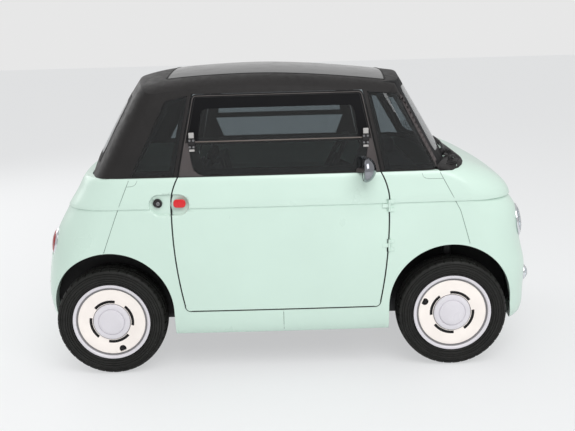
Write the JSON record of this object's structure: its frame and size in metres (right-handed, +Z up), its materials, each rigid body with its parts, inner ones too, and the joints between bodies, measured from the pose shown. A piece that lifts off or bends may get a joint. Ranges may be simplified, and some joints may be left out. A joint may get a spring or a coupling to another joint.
{
  "type": "two-seat electric microcar",
  "caption": "Small two-seat city car with round moulded panels, black upper body, opening doors, steered front wheels and cream disc wheels.",
  "frame": {"origin": "on the ground under the middle of the car's box", "axes": "+X forward along the car, +Y to its left, +Z up"},
  "size_m": [2.5429, 1.652, 1.53],
  "materials": {
    "body_mint": "smooth pale green moulded skin, low gloss",
    "black_grain": "grained black moulding",
    "glass_dark": "tinted safety glass with a black printed border",
    "roof_gloss": "gloss black roof panel with a glass strip",
    "handle_red": "gloss red handle",
    "chrome": "bright plated cap",
    "steel": "bare forged steel",
    "steel_black": "black powder coat",
    "cast_alloy": "cast alloy housing",
    "seat_frame": "grained black seat shell",
    "seat_cloth": "dark woven seat cloth",
    "tyre": "black road tyre",
    "wheel_cream": "cream painted wheel disc with a silver rim",
    "black_plastic": "black plastic",
    "dash_plastic": "dark moulded plastic"
  },
  "bodies": {
    "root": {"front_cap": "body_mint", "rear_cap": "body_mint", "quarter_front_right": "body_mint", "quarter_front_left": "body_mint", "quarter_rear_right": "body_mint", "quarter_rear_left": "body_mint", "roof_shell": "black_grain", "side_windows": "glass_dark", "windscreen": "glass_dark", "rear_window": "glass_dark", "roof_glass": "roof_gloss", "seat_left_shell": "seat_frame", "seat_left_cushion": "seat_cloth", "seat_right_shell": "seat_frame", "seat_right_cushion": "seat_cloth", "door_hinges": "body_mint", "front_lamps": "chrome", "tail_lamps": "chrome", "lower_grille": "black_plastic", "cowl": "black_grain", "bulkhead": "black_plastic", "pedals": "steel_black", "door_locks": "black_plastic", "arch_liners": "black_plastic", "floor_pan": "steel_black", "frame_rails": "steel_black", "battery_block": "steel_black", "motor_block": "cast_alloy", "front_suspension": "steel_black", "rear_axle": "steel_black", "bumper_beam": "steel_black", "dashboard": "dash_plastic", "steering_column": "black_plastic"},
    "door_left": {"door_left_panel": "body_mint", "door_left_frame": "black_grain", "door_left_glass": "glass_dark", "door_left_handle": "handle_red", "mirror_left": "chrome"},
    "knuckle_left": {"knuckle_left": "steel"},
    "door_right": {"door_right_panel": "body_mint", "door_right_frame": "black_grain", "door_right_glass": "glass_dark", "door_right_handle": "handle_red", "mirror_right": "chrome"},
    "knuckle_right": {"knuckle_right": "steel"},
    "road_wheel_front_left": {"tyre_front_left": "tyre", "wheel_front_left": "wheel_cream"},
    "road_wheel_front_right": {"tyre_front_right": "tyre", "wheel_front_right": "wheel_cream"},
    "road_wheel_rear_left": {"tyre_rear_left": "tyre", "wheel_rear_left": "wheel_cream"},
    "road_wheel_rear_right": {"tyre_rear_right": "tyre", "wheel_rear_right": "wheel_cream"},
    "steering_wheel": {"steering_wheel": "black_plastic"}
  },
  "joints": [
    {"name": "steer_left", "type": "hinge", "parent": "root", "child": "knuckle_left", "pos_m": [0.839, 0.49, 0.2785], "axis": [0, 0, 1], "range_deg": [-30, 30]},
    {"name": "steer_right", "type": "hinge", "parent": "root", "child": "knuckle_right", "pos_m": [0.839, -0.49, 0.2785], "axis": [0, 0, 1], "range_deg": [-30, 30]},
    {"name": "steering_wheel_turn", "type": "hinge", "parent": "root", "child": "steering_wheel", "pos_m": [0.3, 0.27, 0.93], "axis": [-0.8829, 0, 0.4695], "range_deg": [-480, 480]},
    {"name": "spin_front_left", "type": "hinge", "parent": "knuckle_left", "child": "road_wheel_front_left", "pos_m": [0.839, 0.6, 0.2785], "axis": [0, 1, 0], "continuous": true},
    {"name": "spin_front_right", "type": "hinge", "parent": "knuckle_right", "child": "road_wheel_front_right", "pos_m": [0.839, -0.6, 0.2785], "axis": [0, 1, 0], "continuous": true},
    {"name": "spin_rear_left", "type": "hinge", "parent": "root", "child": "road_wheel_rear_left", "pos_m": [-0.889, 0.6, 0.2785], "axis": [0, 1, 0], "continuous": true},
    {"name": "spin_rear_right", "type": "hinge", "parent": "root", "child": "road_wheel_rear_right", "pos_m": [-0.889, -0.6, 0.2785], "axis": [0, 1, 0], "continuous": true},
    {"name": "door_right_swing", "type": "hinge", "parent": "root", "child": "door_right", "pos_m": [0.5155, -0.697, 0.65], "axis": [0, 0, 1], "range_deg": [0, 70]},
    {"name": "door_left_swing", "type": "hinge", "parent": "root", "child": "door_left", "pos_m": [-0.5495, 0.697, 0.65], "axis": [0, 0, 1], "range_deg": [0, 70]}
  ],
  "couplings": [
    {"joint": "steer_right", "follows": "steer_left", "ratio": 1},
    {"joint": "steering_wheel_turn", "follows": "steer_left", "ratio": 16}
  ]
}
